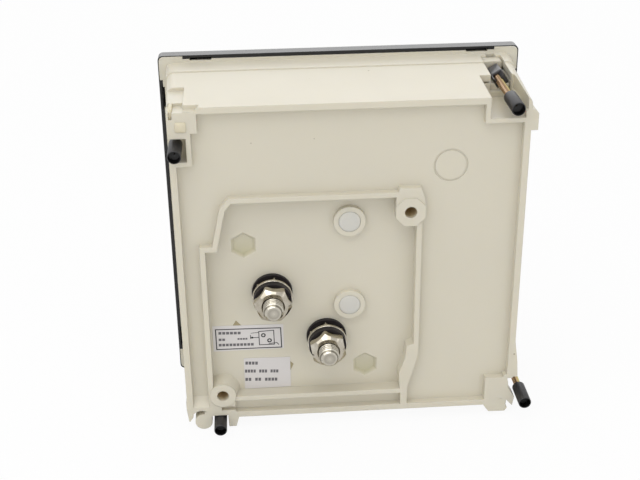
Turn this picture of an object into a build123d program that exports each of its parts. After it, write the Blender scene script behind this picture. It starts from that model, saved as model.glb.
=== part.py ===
from build123d import *
import os
from math import cos, sin, radians

os.makedirs("parts", exist_ok=True)

# Frame: Y = 0 is the rear face of the bezel, which meets the panel.
# The dial faces -Y, the terminals face +Y and +Z is up. All sizes are in mm.

# Front frame
BEZEL = 144.0
BEZEL_T = 6.6
BEZEL_LIP = 1.6
BEZEL_WALL = 1.4
WINDOW = BEZEL - 18.0
PANE = BEZEL - 6.0
PANE_T = 2.0
GASKET_T = 0.8
LUG = 9.8
LUG_T = 0.6
LUG_INSET = 0.35
CLIP_T = 1.8
CLIP_AT = BEZEL / 2 - 16.9
CLIP_HALF = 4.3
FIT_GAP = 0.1
RUN_GAP = 0.05

# Housing
BODY_FRONT = BEZEL - 6.8
BODY_REAR = BODY_FRONT - 3.6
BODY_DEPTH = 48.0
BODY_R = 3.0
WALL = 2.5
RIM_H = 3.0
PANEL_Y = BODY_DEPTH - RIM_H
STEP_Y = 10.0
STEP_H = 0.5
HALF = BODY_REAR / 2

# Terminal compartment
FLOOR_Y = BODY_DEPTH - 5.5
RIB_T = 2.1
COMP_LEFT = HALF - 8.9
COMP_RIGHT = 39.5 - HALF
COMP_TOP = HALF - 36.1
COMP_BOTTOM = 7.8 - HALF
COMP_NOTCH = COMP_TOP - 19.9
COVER_HOLE = 4.7
COVER_HOLE_END = BODY_DEPTH - 9.0
BOSS_TOP = BODY_DEPTH + 0.6
COVER_BOSSES = [(COMP_RIGHT + 4.5, COMP_TOP - 8.3), (COMP_LEFT - 5.8, COMP_BOTTOM + 3.0)]
PLUGS = [(COMP_RIGHT + 27.5, COMP_TOP - 12.9), (COMP_RIGHT + 27.5, COMP_BOTTOM + 40.5)]
BLIND_HEX = [(COMP_LEFT - 16.7, COMP_TOP - 22.1), (COMP_RIGHT + 21.0, COMP_BOTTOM + 11.2)]
HEX_TOP = 10.2
HEX_END = 7.2
HEX_DEPTH = 1.6

# Movement
PIVOT_IN = 24.8
PIVOT = (HALF - PIVOT_IN, PIVOT_IN - HALF)
POINTER_L = 85.0
DIAL_GAP = 5.1
DIAL_SIZE = BODY_FRONT - 2 * (WALL + DIAL_GAP)
DIAL_Y = 4.0
DIAL_T = 1.0
BASE_Y = FLOOR_Y - 9.5
BASE_T = 2.0
BASE_HALF = PIVOT_IN - WALL - 2.3
BASE_POST = BASE_HALF - 3.5
SPINDLE_R = 0.7
SPINDLE_Y0 = 0.5
SPINDLE_Y1 = BASE_Y - 0.3
COIL_Y0 = 8.0
CHAMBER_R = 19.0
CHAMBER_Y = BASE_Y - 7.0
COIL_Y1 = CHAMBER_Y
COIL_R = 16.0
CORE_R = 9.9
BORE_R = 8.2
FLANGE_R = 17.0
FLANGE_T = 1.5
PILLAR_OFF = 20.0
PILLAR_R = 2.2
BRIDGE_T = 1.5
ADJ_OFF = 9.0
ADJ_R = 2.5
ADJ_PIN = 1.5
MASK_R = 46.0
BASE_POSTS = [(PIVOT[0] - BASE_POST, PIVOT[1] + BASE_POST), (PIVOT[0] + BASE_POST, PIVOT[1] - BASE_POST)]
DIAL_EDGE = DIAL_SIZE / 2 - 6.0
DIAL_POSTS = [(-DIAL_EDGE, -DIAL_EDGE), (1 - DIAL_EDGE, DIAL_EDGE - 1), (DIAL_EDGE - 2, DIAL_EDGE - 17)]

# Terminals
STUD_R = 4.0
STUD_END_R = 3.7
STUD_END = 4.0
STUD_CHAMFER = 1.0
STUD_HEAD_T = 3.0
NUT_AF = 13.0
THIN_NUT = 4.0
FULL_NUT = 6.5
BASE_WASHER = (16.0, 1.6)
TOP_WASHER = (15.0, 1.2)
STUDS = [(COMP_LEFT - 27.2, COMP_BOTTOM + 47.0), (COMP_LEFT - 48.4, COMP_BOTTOM + 25.8)]
STRIP_T = 1.5
STACK_1 = FLOOR_Y + BASE_WASHER[1]
STACK_2 = STACK_1 + THIN_NUT
STACK_3 = STACK_2 + TOP_WASHER[1]
STACK_4 = STACK_3 + FULL_NUT
STUD_TIP = STACK_4 + STUD_END + 1.2

# Corner clamps: name, x, z, outward direction, depth of the pocket inward of the axis,
# the pocket's two ends along the side, and where the pocket starts
ROD_R = 1.45
ROD_Y0 = 5.0
ROD_Y1 = BODY_DEPTH + 2.0
SLEEVE_W = 4.2
SLEEVE_TURN = 14.0
SLEEVE_Y0 = 9.0
SLEEVE_Y1 = 22.0
CAP_R = 2.4
CAP_Y0 = BODY_DEPTH - 10.0
CAP_Y1 = BODY_DEPTH + 6.5
CAP_BORE = 1.85
POCKET_Y = 3.0
POCKET_WALL = 1.8
CLAMPS = [
    ("top_left", HALF - 2.3, HALF - 16.3, (1, 0), 4.2, -4.6, 4.6, POCKET_Y),
    ("top_right", 6.7 - HALF, HALF - 2.5, (0, 1), 5.6, -5.1, 8.6, BODY_DEPTH / 2),
    ("bottom_left", HALF - 13.2, -HALF - 1.8, (0, -1), 2.9, -3.2, 3.2, POCKET_Y),
    ("bottom_right", -HALF - 4.1, 4.2 - HALF, (-1, 0), 6.3, -18.0, 8.2, POCKET_Y),
]


def box(x0, x1, y0, y1, z0, z1):
    size = (abs(x1 - x0), abs(y1 - y0), abs(z1 - z0))
    mid = ((x0 + x1) / 2, (y0 + y1) / 2, (z0 + z1) / 2)
    return Pos(*mid) * Box(*size)


def plane_y(y):
    return Plane(origin=(0, y, 0), x_dir=(-1, 0, 0), z_dir=(0, 1, 0))


def cyl(x, z, r, y0, y1, r_end=None):
    if r_end is None:
        tool = Cylinder(r, y1 - y0)
    else:
        tool = Cone(r, r_end, y1 - y0)
    return Pos(x, (y0 + y1) / 2, z) * Rot(-90, 0, 0) * tool


def prism(points, y0, y1):
    wire = Polyline(*[(x, y0, z) for x, z in points], close=True)
    return extrude(make_face(wire), amount=y1 - y0, dir=(0, 1, 0))


def ngon(x, z, across, y0, y1, turn=0.0, sides=6):
    r = across / 2 / cos(radians(180 / sides))
    pts = [(x + r * cos(radians(turn + 360 * i / sides)),
            z + r * sin(radians(turn + 360 * i / sides))) for i in range(sides)]
    return prism(pts, y0, y1)


def ngon_face(x, z, across, y, turn=0.0, sides=6):
    return ngon(x, z, across, y, y + 1, turn, sides).faces().sort_by(Axis.Y)[0]


def rounded(w, r, y0, y1, w_end=None):
    # Rounded square block, tapered when a second width is given
    a = plane_y(y0) * RectangleRounded(w, w, r)
    if w_end is None:
        return extrude(a, amount=y1 - y0)
    b = plane_y(y1) * RectangleRounded(w_end, w_end, r)
    return loft([a.face(), b.face()])


def frame_ring(outer, inner, r, y0, y1):
    return rounded(outer, r, y0, y1) - rounded(inner, max(r - 1.0, 0.5), y0 - 1, y1 + 1)


def sector(x, z, r0, r1, a0, a1, y0, y1, steps=20):
    # Ring sector about an axis along Y, from angle a0 to a1
    angs = [a0 + (a1 - a0) * i / steps for i in range(steps + 1)]
    out = [(x + r1 * cos(radians(a)), z + r1 * sin(radians(a))) for a in angs]
    back = [(x + r0 * cos(radians(a)), z + r0 * sin(radians(a))) for a in reversed(angs)]
    return prism(out + back, y0, y1)


def strip(x0, z0, x1, z1, width, y0, y1):
    # Straight bar of one width between two points
    dx, dz = x1 - x0, z1 - z0
    n = (dx * dx + dz * dz) ** 0.5
    ox, oz = -dz / n * width / 2, dx / n * width / 2
    pts = [(x0 + ox, z0 + oz), (x1 + ox, z1 + oz), (x1 - ox, z1 - oz), (x0 - ox, z0 - oz)]
    return prism(pts, y0, y1)


def corners(half):
    return [(half, half), (-half, half), (half, -half), (-half, -half)]


def lug_seats(inset, y0, y1, length):
    # The four corners of a rounded square, as far along each side as a lug reaches
    plate = rounded(BEZEL - 2 * inset, 2.0, y0, y1)
    cross = box(-BEZEL, BEZEL, y0 - 1, y1 + 1, -BEZEL / 2 + length, BEZEL / 2 - length)
    cross += box(-BEZEL / 2 + length, BEZEL / 2 - length, y0 - 1, y1 + 1, -BEZEL, BEZEL)
    return plate - cross


def clip_slots(inner, outer, half, y0, y1):
    # Two slots near the ends of each side of the frame
    out = []
    for s in (1, -1):
        for m in (1, -1):
            lo, hi = m * CLIP_AT - half, m * CLIP_AT + half
            out.append(box(lo, hi, y0, y1, s * inner, s * outer))
            out.append(box(s * inner, s * outer, y0, y1, lo, hi))
    return out


def bezel_frame():
    body = rounded(BEZEL, 2.0, -BEZEL_T, 0)
    front = body.faces().sort_by(Axis.Y)[0]
    body = chamfer(front.edges(), 1.2)
    inner = BEZEL / 2 - BEZEL_WALL
    body -= rounded(2 * inner, 1.5, -BEZEL_T + BEZEL_LIP, 1)
    body -= rounded(WINDOW, 2.0, -BEZEL_T - 1, 1)
    body -= lug_seats(LUG_INSET - FIT_GAP, -LUG_T - FIT_GAP, 1, LUG + FIT_GAP)
    for slot in clip_slots(inner - 0.1, inner + 0.4, CLIP_HALF + 0.5, -CLIP_T, 1):
        body -= slot
    return body


def flange():
    # Flange ring seated in the bezel, with a lug at each corner
    inner = BEZEL / 2 - BEZEL_WALL
    y0 = -BEZEL_T + BEZEL_LIP + PANE_T + GASKET_T
    ring = rounded(2 * (inner - FIT_GAP), 1.5, y0, 0)
    ring += lug_seats(LUG_INSET, -LUG_T, 0, LUG)
    for slot in clip_slots(inner - 0.7, inner + 0.4, CLIP_HALF, y0 - 1, 1):
        ring -= slot
    return ring - rounded(BODY_FRONT - 2 * WALL, 1.5, y0 - 1, 1)


COMPARTMENT = [
    (COMP_LEFT - 8.4, COMP_TOP - 4.0), (COMP_LEFT - 11.7, COMP_TOP), (COMP_RIGHT, COMP_TOP),
    (COMP_RIGHT, COMP_BOTTOM + 17.5), (COMP_RIGHT + 4.2, COMP_BOTTOM + 2.8), (COMP_RIGHT + 4.2, COMP_BOTTOM),
    (COMP_LEFT, COMP_BOTTOM), (COMP_LEFT, COMP_NOTCH), (COMP_LEFT - 4.9, COMP_NOTCH),
]


def poly_block(points, amount, y0, y1):
    face = make_face(Polyline(*[(x, y0, z) for x, z in points], close=True))
    if amount:
        face = offset(face, amount=amount, kind=Kind.INTERSECTION).faces()[0]
    return extrude(face, amount=y1 - y0, dir=(0, 1, 0))


def clamp_block(x, z, d, ends, inward, outward, y0, y1):
    # Block at a clamp axis, between two ends along the side, measured inward and outward
    dx, dz = d
    lo, hi = ends
    if dx:
        return box(x - dx * inward, x + dx * outward, y0, y1, lo, hi)
    return box(lo, hi, y0, y1, z - dz * inward, z + dz * outward)


def about(x, z, d, half):
    # Two ends placed evenly about a clamp axis
    mid = z if d[0] else x
    return (mid - half, mid + half)


def housing_shell():
    body = rounded(BODY_FRONT, BODY_R, -0.5, BODY_DEPTH, BODY_REAR)
    body += rounded(BODY_FRONT + 2 * STEP_H, BODY_R, -0.5, STEP_Y, BODY_FRONT)
    body -= rounded(BODY_FRONT - 2 * WALL, 2.0, -1, PANEL_Y - WALL, BODY_REAR - 2 * WALL)
    rim = BODY_REAR - 2 * WALL
    body -= rounded(rim, 1.5, PANEL_Y, BODY_DEPTH + 1)
    body += flange()
    return body


def compartment(body):
    inner = poly_block(COMPARTMENT, -RIB_T, PANEL_Y, BODY_DEPTH)
    body += poly_block(COMPARTMENT, 0, PANEL_Y - 0.5, BODY_DEPTH) - inner
    body += poly_block(COMPARTMENT, 1.0, FLOOR_Y - WALL, PANEL_Y - 0.1)
    body -= poly_block(COMPARTMENT, -RIB_T, FLOOR_Y, BODY_DEPTH + 1)
    # Thicker lower end of the right-hand rib, carried on to the rim
    steps = [(0.5, 23.2), (2.3, 23.2), (4.8, 21.8), (5.4, 16.2), (7.7, 9.3), (7.2, 0.5), (4.7, 0.5),
             (4.7, 2.7), (0.5, 17.4)]
    x, z = COMP_RIGHT, COMP_BOTTOM
    body += prism([(x + a, z + b) for a, b in steps], FLOOR_Y - 0.5, BODY_DEPTH)
    body += box(x + 4.2, x + 7.0, PANEL_Y - 0.5, BODY_DEPTH, 2.0 - HALF, z + 0.5)
    return body


def cover_bosses(body):
    # Flared bosses for the screws of the terminal cover, the lower one webbed to the corner
    (ux, uz), (lx, lz) = COVER_BOSSES
    floor = 0.4 - HALF
    body += ngon(ux, uz, 11.4, COVER_HOLE_END - WALL, BOSS_TOP, 22.5, 8)
    crown = [(5.6, 1.0), (5.6, 6.3), (4.3, 9.9), (-3.9, 9.8), (-5.5, 5.1), (-5.5, 1.0)]
    body += prism([(ux + a, uz + b) for a, b in crown], PANEL_Y - 0.5, BODY_DEPTH)
    body += cyl(lx, lz, 7.0, FLOOR_Y - 0.5, BODY_DEPTH - 0.5, 5.3)
    body += cyl(lx, lz, 5.3, COVER_HOLE_END - WALL, BOSS_TOP)
    body += box(lx - 4.9, lx + 5.7, FLOOR_Y, BODY_DEPTH, floor, lz)
    body -= box(lx - 6.0, lx + 0.7, BODY_DEPTH - 2.0, BODY_DEPTH + 1, floor + 3.0, floor + 5.0)
    body += box(lx + 5.5, HALF - 2.4, FLOOR_Y, BODY_DEPTH, floor, floor + 4.9)
    ramp = [(PANEL_Y - 0.2, floor + 9.0), (BODY_DEPTH, floor + 4.9), (PANEL_Y - 0.2, floor + 4.8)]
    wedge = make_face(Polyline(*[(lx + 5.5, y, z) for y, z in ramp], close=True))
    body += extrude(wedge, amount=HALF - 2.4 - lx - 5.5, dir=(1, 0, 0))
    for x, z in COVER_BOSSES:
        body -= cyl(x, z, COVER_HOLE / 2, COVER_HOLE_END, BOSS_TOP + 1)
    return body


def floor_details(body):
    for x, z in STUDS:
        body += cyl(x, z, 8.5, FLOOR_Y - 5.0, FLOOR_Y - 1)
        body -= cyl(x, z, STUD_R + FIT_GAP, FLOOR_Y - 10, FLOOR_Y + 1)
    for x, z in PLUGS:
        body += cyl(x, z, 6.2, FLOOR_Y - 1, FLOOR_Y + 2.2)
        body -= cyl(x, z, 4.25, FLOOR_Y + 0.7, FLOOR_Y + 3)
    for x, z in BLIND_HEX:
        ends = [ngon_face(x, z, HEX_TOP, FLOOR_Y + 0.4, 30), ngon_face(x, z, HEX_END, FLOOR_Y - HEX_DEPTH, 30)]
        body -= loft(ends)
    x, z = 28.8 - HALF, HALF - 27.0
    ring = cyl(x, z, 6.5, PANEL_Y - 0.3, PANEL_Y + 1)
    body -= ring - cyl(x, z, 5.9, PANEL_Y - 1, PANEL_Y + 2)
    return body


def posts(body):
    # Inner posts for the movement and the dial
    for x, z in BASE_POSTS:
        body += cyl(x, z, 3.5, BASE_Y + BASE_T, FLOOR_Y - 1)
        body -= cyl(x, z, 1.25, BASE_Y, FLOOR_Y - 2.5)
    for x, z in DIAL_POSTS:
        body += cyl(x, z, 4.0, DIAL_Y + DIAL_T, FLOOR_Y + 1)
        body -= cyl(x, z, 1.0, DIAL_Y, DIAL_Y + 9)
    return body


def near(side, level, points):
    # Points given by their distances inward from a rear corner of the housing
    return [(side * (HALF - a), level * (HALF - b)) for a, b in points]


def clamp_seats(body):
    # Pockets for the clamp rods, with the seats that carry their sleeves
    w = POCKET_WALL
    outline = rounded(BODY_FRONT, BODY_R, -0.5, BODY_DEPTH, BODY_REAR)
    for name, x, z, d, deep, lo, hi, start in CLAMPS:
        mid = z if d[0] else x
        wall = clamp_block(x, z, d, (mid + lo - w, mid + hi + w), deep + w, 0, 0, BODY_DEPTH)
        body += wall & outline
    for name, x, z, d, deep, lo, hi, start in CLAMPS:
        mid = z if d[0] else x
        body -= clamp_block(x, z, d, (mid + lo, mid + hi), deep, 30, start, BODY_DEPTH + 1)
        body -= clamp_block(x, z, d, about(x, z, d, 4.1), 3.3, 30, POCKET_Y, SLEEVE_Y1 + 3)
        body -= clamp_block(x, z, d, about(x, z, d, ROD_R + 0.3), ROD_R + 0.3, 5, 0.3, POCKET_Y + 1)
    for name, x, z, d, deep, lo, hi, start in CLAMPS:
        seat = clamp_block(x, z, d, about(x, z, d, 3.6), max(deep, 3.3) + 0.5, -0.8,
                           SLEEVE_Y0 - 1.5, SLEEVE_Y1)
        seat -= ngon(x, z, SLEEVE_W, SLEEVE_Y0, SLEEVE_Y1 + 1, SLEEVE_TURN, 4)
        seat -= cyl(x, z, ROD_R + 0.4, 0, SLEEVE_Y1 + 1)
        body += seat
    return body


def top_corners(body):
    # Stepped corner beside the upper left clamp, and the hook beside the upper right one
    y1 = BODY_DEPTH
    outline = rounded(BODY_FRONT, BODY_R, -0.5, BODY_DEPTH, BODY_REAR)
    body += prism(near(1, 1, [(10.8, 0), (0, 0), (0, 9.9), (10.8, 9.9)]), FLOOR_Y, y1) & outline
    body -= prism(near(1, 1, [(6.0, 0.6), (-5, 0.6), (-5, -5), (6.0, -5)]), 26.6, y1 + 1)
    body -= prism(near(1, 1, [(6.0, 1.8), (-5, 1.8), (-5, -5), (6.0, -5)]), y1 - 7.6, y1 + 1)
    body -= prism(near(1, 1, [(12.2, -0.5), (10.4, 1.4), (6.0, 1.4), (6.0, -5), (12.2, -5)]), y1 - 3, y1 + 1)
    body -= prism(near(1, 1, [(2.0, 1.0), (0.8, 1.0), (0.8, 4.4), (2.0, 4.4)]), 28.0, y1 + 1)
    body -= prism(near(1, 1, [(6.8, 5.4), (3.6, 5.4), (3.6, 8.6), (6.8, 8.6)]), y1 - 1.5, y1 + 1)
    hook = prism(near(-1, 1, [(2.2, 5.1), (-1.4, 5.1), (-2.6, 6.6), (-2.6, 13.1), (2.2, 13.1)]), y1 - 12, y1)
    body += hook
    body += prism(near(-1, 1, [(2.2, 4.8), (-1.8, 4.8), (-1.8, 13.1), (2.2, 13.1)]), 18, y1 - 12)
    body -= prism(near(-1, 1, [(0.0, 9.8), (-4, 9.8), (-4, 6.2), (0.0, 6.2)]), y1 - 7, y1 - 2)
    return body


def bottom_corners(body):
    # Hanging ear, spike and lug at the lower left, and the two hooks at the lower right
    y1 = BODY_DEPTH
    ex, ez = HALF - 6.4, -HALF - 1.6
    body -= cyl(ex + 0.8, ez + 0.9, 4.4, y1 - 5, y1 + 1)
    body += cyl(ex, ez, 3.5, y1 - 12, y1)
    body += box(ex - 3.4, ex - 0.5, y1 - 5.0, y1, ez, 3.0 - HALF)
    spike = [(1.2, 8.0), (-0.3, 8.0), (-0.3, 4.8), (0.4, -1.2), (0.9, -1.2), (2.2, 0.8), (2.2, 3.0)]
    body += prism(near(1, -1, spike), y1 - 9, y1)
    lug = [(16.4, 1.0), (16.6, -4.4), (19.6, -4.4), (20.8, 0.0), (20.8, 1.0)]
    body += prism(near(1, -1, lug), y1 - 12, y1)
    hooks = [(11.5, -0.4), (9.4, -3.4), (2.6, -3.5), (1.6, -2.0), (2.9, 0.6), (5.0, 2.6), (2.9, 2.7),
             (-0.4, -1.0), (-1.1, 3.2), (1.6, 7.6), (1.9, 10.7), (2.6, 13.0), (11.5, 13.0)]
    body += prism(near(-1, -1, hooks), y1 - 5.5, y1)
    bump = [(0.3, 32.0), (-1.4, 20.0), (-1.9, 13.0), (2.4, 13.0), (2.4, 32.0)]
    body += prism(near(-1, -1, bump), y1 - 14, y1)
    return body


def rear_housing():
    body = housing_shell()
    body = compartment(body)
    body = cover_bosses(body)
    body = floor_details(body)
    body = posts(body)
    body = clamp_seats(body)
    body = top_corners(body)
    body = bottom_corners(body)
    return body


def window_pane():
    y0 = -BEZEL_T + BEZEL_LIP
    pane = rounded(PANE, 2.0, y0, y0 + PANE_T)
    ax, az = adjuster_axis()
    return pane - cyl(ax, az, ADJ_R + RUN_GAP, y0 - 1, y0 + PANE_T + 1)


def window_gasket():
    y0 = -BEZEL_T + BEZEL_LIP + PANE_T
    return frame_ring(PANE, BODY_FRONT - 2 * WALL + 0.4, 2.0, y0, y0 + GASKET_T)


def adjuster_axis():
    k = ADJ_OFF / 2 ** 0.5
    return PIVOT[0] + k, PIVOT[1] - k


def corner_mask():
    y0 = -BEZEL_T + BEZEL_LIP + PANE_T
    edge = BODY_FRONT / 2 - WALL
    disc = cyl(edge, -edge, MASK_R, y0, y0 + 0.5)
    mask = disc & box(0, edge - 0.2, y0 - 1, y0 + 2, -edge + 0.2, 0)
    ax, az = adjuster_axis()
    return mask - cyl(ax, az, ADJ_R + RUN_GAP, y0 - 1, y0 + 2)


def zero_adjuster():
    ax, az = adjuster_axis()
    y0 = -BEZEL_T + BEZEL_LIP
    body = cyl(ax, az, 4.0, y0 - 1.2, y0 - 0.05)
    body -= box(ax - 3.2, ax + 3.2, y0 - 2, y0 - 0.6, az - 0.5, az + 0.5)
    body += cyl(ax, az, ADJ_R, y0 - 0.1, y0 + PANE_T + 1.4)
    k = ADJ_PIN / 2 ** 0.5
    body += cyl(ax + k, az - k, 0.6, y0 + PANE_T + 1.3, 1.0)
    return body


def zero_lever():
    px, pz = PIVOT
    k = 1 / 2 ** 0.5
    arm = strip(px + 2 * k, pz - 2 * k, px + 12.4 * k, pz - 12.4 * k, 3.6, 0.15, 0.65)
    arm += cyl(px, pz, 3.2, 0.15, 0.65)
    arm += strip(px - 2 * k, pz + 2 * k, px - 6.2 * k, pz + 6.2 * k, 1.6, 0.15, 0.65)
    arm += cyl(px - 5.8 * k, pz + 5.8 * k, 0.5, 0.15, 1.6)
    arm -= cyl(px, pz, 1.5 + RUN_GAP, 0, 1)
    slot = strip(px + 9.0 * k, pz - 9.0 * k, px + 14 * k, pz - 14 * k, 1.35, 0, 1)
    return arm - slot


def hairspring():
    # Flat spiral from the spindle collet to the stud on the zero lever
    px, pz = PIVOT
    turns, r0, r1, t = 4.0, 1.35, 5.35, 0.14
    n = 96
    end = 135.0
    outer, inner = [], []
    for i in range(n + 1):
        a = radians(end - 360 * turns * (1 - i / n))
        r = r0 + (r1 - r0) * i / n
        outer.append((px + (r + t / 2) * cos(a), pz + (r + t / 2) * sin(a)))
        inner.append((px + (r - t / 2) * cos(a), pz + (r - t / 2) * sin(a)))
    coil = prism(outer + inner[::-1], 1.1, 1.5)
    return coil


def dial_plate():
    plate = rounded(DIAL_SIZE, 2.0, DIAL_Y, DIAL_Y + DIAL_T)
    plate -= cyl(PIVOT[0], PIVOT[1], 4.0, 0, 10)
    for x, z in pillar_points():
        plate -= cyl(x, z, PILLAR_R + 0.8, 0, 10)
    for x, z in DIAL_POSTS:
        plate -= cyl(x, z, 1.3, 0, 10)
    # Notches around the corner pockets of the clamps
    for name, x, z, d, deep, lo, hi, start in CLAMPS:
        mid = z if d[0] else x
        plate -= clamp_block(x, z, d, (mid + lo - 3, mid + hi + 3), max(deep, 4.0) + 3, 30, 0, 10)
    return plate


def screw(x, z, head_y, head_r, head_t, shank_r, length):
    # Slotted pan screw whose head bears at head_y and whose shank runs to +Y
    body = cyl(x, z, head_r, head_y - head_t, head_y)
    body += cyl(x, z, shank_r, head_y - 0.1, head_y + length)
    return body - box(x - head_r, x + head_r, head_y - head_t - 1, head_y - head_t * 0.5,
                      z - 0.35, z + 0.35)


def pillar_points():
    k = PILLAR_OFF / 2 ** 0.5
    return [(PIVOT[0] + k, PIVOT[1] + k), (PIVOT[0] - k, PIVOT[1] - k)]


def dial_screws():
    return Compound([screw(x, z, DIAL_Y, 2.0, 1.0, 0.95, 8.0) for x, z in DIAL_POSTS])


def movement_base():
    x, z = PIVOT
    h = BASE_HALF
    plate = box(x - h, x + h, BASE_Y, BASE_Y + BASE_T, z - h, z + h)
    for px, pz in BASE_POSTS:
        plate -= cyl(px, pz, 1.5, BASE_Y - 1, BASE_Y + 4)
    plate -= cyl(x, z, 1.5, BASE_Y - 1, BASE_Y + 4)
    return plate


def movement_screws():
    return Compound([screw(x, z, BASE_Y, 2.5, 1.6, 1.2, 6.0) for x, z in BASE_POSTS])


def pillars():
    return Compound([cyl(x, z, PILLAR_R, 0, BASE_Y) for x, z in pillar_points()])


def front_bridge():
    (x0, z0), (x1, z1) = pillar_points()
    k = 3.0 / 2 ** 0.5
    bar = strip(x0 + k, z0 + k, x1 - k, z1 - k, 6.0, -BRIDGE_T, 0)
    bar -= cyl(PIVOT[0], PIVOT[1], 1.5, -5, 5)
    for x, z in pillar_points():
        bar -= cyl(x, z, 1.0, -5, 5)
    return bar


def bridge_screws():
    return Compound([cyl(x, z, 1.9, -BRIDGE_T - 0.6, -BRIDGE_T) for x, z in pillar_points()])


def front_bearing():
    body = cyl(PIVOT[0], PIVOT[1], 1.5, -2.1, 0.9)
    return body - cyl(PIVOT[0], PIVOT[1], 0.3, SPINDLE_Y0 - 0.1, 0.95, 0.75)


def rear_bearing():
    body = cyl(PIVOT[0], PIVOT[1], 1.5, SPINDLE_Y1 - 0.6, BASE_Y + BASE_T + 1.5)
    return body - cyl(PIVOT[0], PIVOT[1], 0.75, SPINDLE_Y1 - 0.65, SPINDLE_Y1 + 0.1, 0.3)


def spindle():
    px, pz = PIVOT
    body = cyl(px, pz, SPINDLE_R, 1.1, SPINDLE_Y1 - 0.8)
    body += cyl(px, pz, 0.15, SPINDLE_Y0, 1.1, 0.5)
    body += cyl(px, pz, 0.5, SPINDLE_Y1 - 0.8, SPINDLE_Y1, 0.15)
    body += cyl(px, pz, 1.25, 1.05, 1.6)
    return body


def pointer():
    px, pz = PIVOT
    tip = px - POINTER_L
    blade = prism([(px - 1, pz + 1.1), (px - 1, pz - 1.1), (tip, pz - 0.25), (tip, pz + 0.25)], 2.2, 2.7)
    blade += strip(px, pz, px + 13, pz, 1.6, 2.2, 2.7)
    blade += cyl(px, pz, 2.6, 1.9, 3.1)
    return blade - cyl(px, pz, SPINDLE_R, 1, 5)


def counterweights():
    px, pz = PIVOT
    a = cyl(px + 11.5, pz, 1.6, 2.7, 3.7)
    b = cyl(px + 7.5, pz, 1.2, 2.7, 3.5)
    return Compound([a, b])


def moving_iron():
    px, pz = PIVOT
    body = sector(px, pz, 5.0, 5.6, 60, 130, COIL_Y0 + 3, COIL_Y1 - 4, 8)
    for y in (COIL_Y0 + 4, COIL_Y1 - 6):
        body += strip(px, pz, px + 5.3 * cos(radians(95)), pz + 5.3 * sin(radians(95)), 1.6, y, y + 1)
        body += cyl(px, pz, 1.5, y, y + 1)
    return body - cyl(px, pz, SPINDLE_R, COIL_Y0 - 1, COIL_Y1 + 1)


def fixed_iron():
    px, pz = PIVOT
    return sector(px, pz, BORE_R - 0.8, BORE_R, 20, 140, COIL_Y0 + 2, COIL_Y1 - 3, 14)


def coil_former():
    px, pz = PIVOT
    body = cyl(px, pz, CORE_R, COIL_Y0, COIL_Y1)
    body += cyl(px, pz, FLANGE_R, COIL_Y0, COIL_Y0 + FLANGE_T)
    body += cyl(px, pz, FLANGE_R, COIL_Y1 - FLANGE_T, COIL_Y1)
    body += box(px + 9, px + 13, COIL_Y1 - 0.5, BASE_Y, pz - 13, pz - 9)
    return body - cyl(px, pz, BORE_R, COIL_Y0 - 1, COIL_Y1 + 1)


def coil_winding():
    px, pz = PIVOT
    a, b = COIL_Y0 + FLANGE_T, COIL_Y1 - FLANGE_T
    return cyl(px, pz, COIL_R, a, b) - cyl(px, pz, CORE_R, a - 1, b + 1)


def damping_chamber():
    px, pz = PIVOT
    body = sector(px, pz, 3.0, CHAMBER_R + 0.8, 76, 194, CHAMBER_Y, BASE_Y, 20)
    return body - sector(px, pz, 2.0, CHAMBER_R, 79, 191, CHAMBER_Y + 1.0, BASE_Y + 1, 20)


def damping_vane():
    px, pz = PIVOT
    y0, y1 = CHAMBER_Y + 1.6, SPINDLE_Y1 - 0.9
    body = strip(px - 1.0, pz, px - CHAMBER_R + 0.5, pz, 0.5, y0, y1)
    body += cyl(px, pz, 1.6, y0, y1 - 0.2)
    return body - cyl(px, pz, SPINDLE_R, y0 - 1, y1 + 1)


def busbar(first):
    # Copper strip from a stud head to the coil, the second one mirrored on the diagonal
    px, pz = PIVOT
    x, z = STUDS[0]
    if not first:
        x, z = -STUDS[1][1], -STUDS[1][0]
    y0 = FLOOR_Y - 5.0 - STRIP_T
    top = pz + BASE_HALF + 0.8
    bar = strip(x, z, px, top + 0.8, 8.0, y0, y0 + STRIP_T)
    bar += cyl(x, z, 6.0, y0, y0 + STRIP_T)
    bar -= cyl(x, z, STUD_R + FIT_GAP, y0 - 1, y0 + 3)
    bar -= box(px - 30, px + 30, y0 - 1, y0 + 3, top - 20, top)
    end = COIL_Y0 + 8
    bar += box(px - 4, px + 4, end, y0 + STRIP_T, top, top + STRIP_T)
    bar += box(px - 4, px + 4, end, end + STRIP_T, pz + COIL_R + 0.05, top + 0.1)
    if first:
        return bar
    turned = bar.mirror(Plane(origin=(0, 0, 0), z_dir=(1, 0, 1)))
    return turned


def hollow_nut(x, z, y0, y1, turn):
    nut = ngon(x, z, NUT_AF, y0, y1, turn)
    r = NUT_AF / 2 / cos(radians(30))
    nut &= cyl(x, z, r + 0.6, y0 - 0.1, y1, r - 0.45) + cyl(x, z, r + 1, y0 - 1, (y0 + y1) / 2)
    return nut - cyl(x, z, STUD_R, y0 - 1, y1 + 1)


def washer(x, z, size, y0):
    return cyl(x, z, size[0] / 2, y0, y0 + size[1]) - cyl(x, z, STUD_R, y0 - 1, y0 + 5)


def terminal_studs():
    out = []
    y0 = FLOOR_Y - 5.0 - STRIP_T
    for x, z in STUDS:
        stud = cyl(x, z, STUD_R, y0 - 1, STACK_4)
        stud += cyl(x, z, STUD_END_R, STACK_4, STACK_4 + STUD_END)
        stud += cyl(x, z, STUD_END_R, STACK_4 + STUD_END, STUD_TIP, STUD_END_R - STUD_CHAMFER)
        stud += ngon(x, z, 11.0, y0 - STUD_HEAD_T, y0, 0)
        out.append(stud)
    return Compound(out)


def base_washers():
    return Compound([washer(x, z, BASE_WASHER, FLOOR_Y) for x, z in STUDS])


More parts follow.
